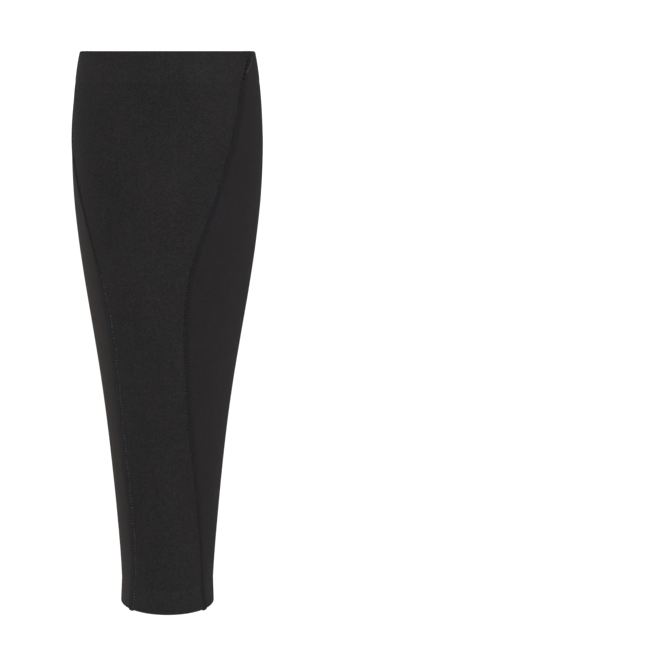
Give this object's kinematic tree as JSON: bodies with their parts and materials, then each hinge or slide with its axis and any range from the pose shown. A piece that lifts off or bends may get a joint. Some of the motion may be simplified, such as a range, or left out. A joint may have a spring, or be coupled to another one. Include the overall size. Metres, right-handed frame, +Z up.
{
  "type": "calf compression sleeve",
  "caption": "Footless knitted compression sleeve for the lower leg, in its worn form, with curved flat seams and turned-in hems.",
  "frame": {"origin": "on the leg's axis, at the height where the calf is fullest", "axes": "+Z up the leg towards the knee, the shin side faces -Y, +X is to the right when looking at the shin"},
  "size_m": [0.1149, 0.1179, 0.3378],
  "materials": {
    "front_knit": "fine black elastic knit, matt with a faint sheen",
    "back_knit": "smooth black elastic knit, a little lighter and warmer",
    "hem_knit": "doubled black elastic knit with a stitched groove",
    "seam_thread": "dense flat seam of bluish black thread"
  },
  "bodies": {
    "root": {"front_panel": "front_knit", "back_panel": "back_knit", "top_hem": "hem_knit", "bottom_hem": "hem_knit", "seam_right": "seam_thread", "seam_left": "seam_thread"}
  },
  "joints": []
}
